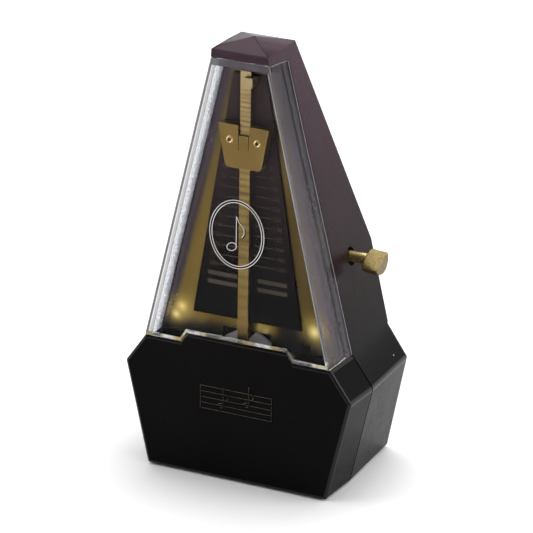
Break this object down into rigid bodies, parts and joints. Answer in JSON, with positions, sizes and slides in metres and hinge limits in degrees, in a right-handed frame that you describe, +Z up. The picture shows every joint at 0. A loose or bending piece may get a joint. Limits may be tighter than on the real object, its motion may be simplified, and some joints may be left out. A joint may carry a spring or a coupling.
{
  "type": "metronome",
  "caption": "Pyramid metronome: black two-part case, lift-off clear cover, sliding-weight pendulum over a gold dial tray, side winding key and a spring-driven wheel train.",
  "frame": {"origin": "centre of the footprint on the standing surface", "axes": "+Z up along the height, -Y the front with the clear cover, +X the side of the winding key"},
  "size_m": [0.0894, 0.0524, 0.16],
  "materials": {
    "case_black": "fine moulded satin black",
    "clear_plastic": "clear polished plastic",
    "gold_plastic": "metallised satin gold",
    "dial_black": "printed satin black",
    "foot_rubber": "matt black",
    "screw_steel": "zinc plated",
    "rod_brass": "satin",
    "weight_brass": "brushed",
    "movement_brass": "stamped, lightly brushed",
    "key_brass": "turned, fine grained",
    "arbor_steel": "ground",
    "spring_steel": "blued",
    "bridge_zinc": "die-cast grey"
  },
  "bodies": {
    "case": {"front_shell": "case_black", "rear_shell": "case_black", "base_plate": "case_black", "rod_catch": "gold_plastic", "dial_surround": "gold_plastic", "scale_plate": "dial_black", "foot_front_left": "foot_rubber", "foot_front_right": "foot_rubber", "foot_rear_left": "foot_rubber", "foot_rear_right": "foot_rubber", "base_screw_front_left": "screw_steel", "base_screw_front_right": "screw_steel", "base_screw_rear_left": "screw_steel", "base_screw_rear_right": "screw_steel", "case_screw_left": "screw_steel", "case_screw_right": "screw_steel", "mainspring": "spring_steel", "movement_plate_left": "movement_brass", "movement_plate_right": "movement_brass", "pillar_top_front": "arbor_steel", "pillar_top_rear": "arbor_steel", "pillar_bottom_front": "arbor_steel", "pillar_bottom_rear": "arbor_steel", "pillar_screw_top_front": "screw_steel", "pillar_screw_top_rear": "screw_steel", "pillar_screw_bottom_front": "screw_steel", "pillar_screw_bottom_rear": "screw_steel", "escape_cock": "movement_brass", "front_bridge": "bridge_zinc", "rear_bridge": "movement_brass", "movement_screw_left": "screw_steel", "movement_screw_right": "screw_steel"},
    "cover": {"clear_cover": "clear_plastic"},
    "pendulum": {"pendulum_rod": "rod_brass", "rod_hub": "movement_brass", "pendulum_arbor": "arbor_steel", "counterweight": "movement_brass", "pallet_front": "arbor_steel", "pallet_rear": "arbor_steel"},
    "sliding_weight": {"weight_front_plate": "weight_brass", "weight_rear_plate": "weight_brass", "weight_rivet_left": "weight_brass", "weight_rivet_right": "weight_brass"},
    "winding": {"winding_arbor": "arbor_steel", "great_wheel": "movement_brass", "ratchet_wheel": "arbor_steel", "click": "arbor_steel", "click_rivet": "arbor_steel", "click_spring": "spring_steel", "key_shaft": "key_brass", "key_head": "key_brass"},
    "second_wheel_set": {"second_arbor": "arbor_steel", "second_pinion": "arbor_steel", "second_wheel": "movement_brass"},
    "escape_wheel_set": {"escape_arbor": "arbor_steel", "escape_pinion": "arbor_steel", "escape_wheel": "movement_brass"}
  },
  "joints": [
    {"name": "cover_slide", "type": "slide", "parent": "case", "child": "cover", "axis": [0, -1, 0], "range_m": [0, 0.2]},
    {"name": "pendulum_swing", "type": "hinge", "parent": "case", "child": "pendulum", "pos_m": [0, -0.01945, 0.046], "axis": [0, 0.9993, -0.0366], "range_deg": [-24, 24]},
    {"name": "weight_slide", "type": "slide", "parent": "pendulum", "child": "sliding_weight", "axis": [0, 0.0366, 0.9993], "range_m": [-0.053, 0.0105]},
    {"name": "key_turn", "type": "hinge", "parent": "case", "child": "winding", "pos_m": [0, 0.00624, 0.079], "axis": [1, 0, 0], "continuous": true},
    {"name": "second_turn", "type": "hinge", "parent": "case", "child": "second_wheel_set", "pos_m": [0, 0.00659, 0.0622], "axis": [1, 0, 0], "continuous": true},
    {"name": "escape_turn", "type": "hinge", "parent": "case", "child": "escape_wheel_set", "pos_m": [0, 0.003, 0.04518], "axis": [1, 0, 0], "continuous": true}
  ],
  "couplings": [
    {"joint": "pendulum_swing", "follows": "cover_slide", "rad_per_m": -2.09},
    {"joint": "second_turn", "follows": "key_turn", "ratio": -3},
    {"joint": "escape_turn", "follows": "key_turn", "ratio": 7.875}
  ]
}
